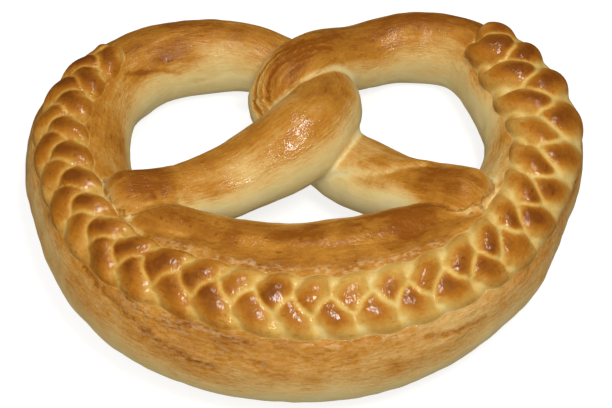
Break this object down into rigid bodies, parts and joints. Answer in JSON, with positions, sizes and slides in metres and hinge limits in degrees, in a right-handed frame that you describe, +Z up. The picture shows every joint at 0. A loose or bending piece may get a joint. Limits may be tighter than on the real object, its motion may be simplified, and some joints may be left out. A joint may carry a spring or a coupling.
{
  "type": "plaited pretzel loaf",
  "caption": "Large sweet yeast pretzel with a thick front, arms that cross twice at the back, and a plait laid round its ring.",
  "frame": {"origin": "middle of the underside of the loaf's box, on the surface that it lies on", "axes": "+Z up, +X to the right with the thick front belly nearest, +Y from the belly to the back, where the arms cross"},
  "size_m": [0.3548, 0.303, 0.0871],
  "materials": {
    "rope_crust": "glossy egg-washed golden-brown crust",
    "plait_crust": "glossy egg-washed brown crust with pale creases"
  },
  "bodies": {
    "root": {"rope": "rope_crust", "plait": "plait_crust"}
  },
  "joints": []
}
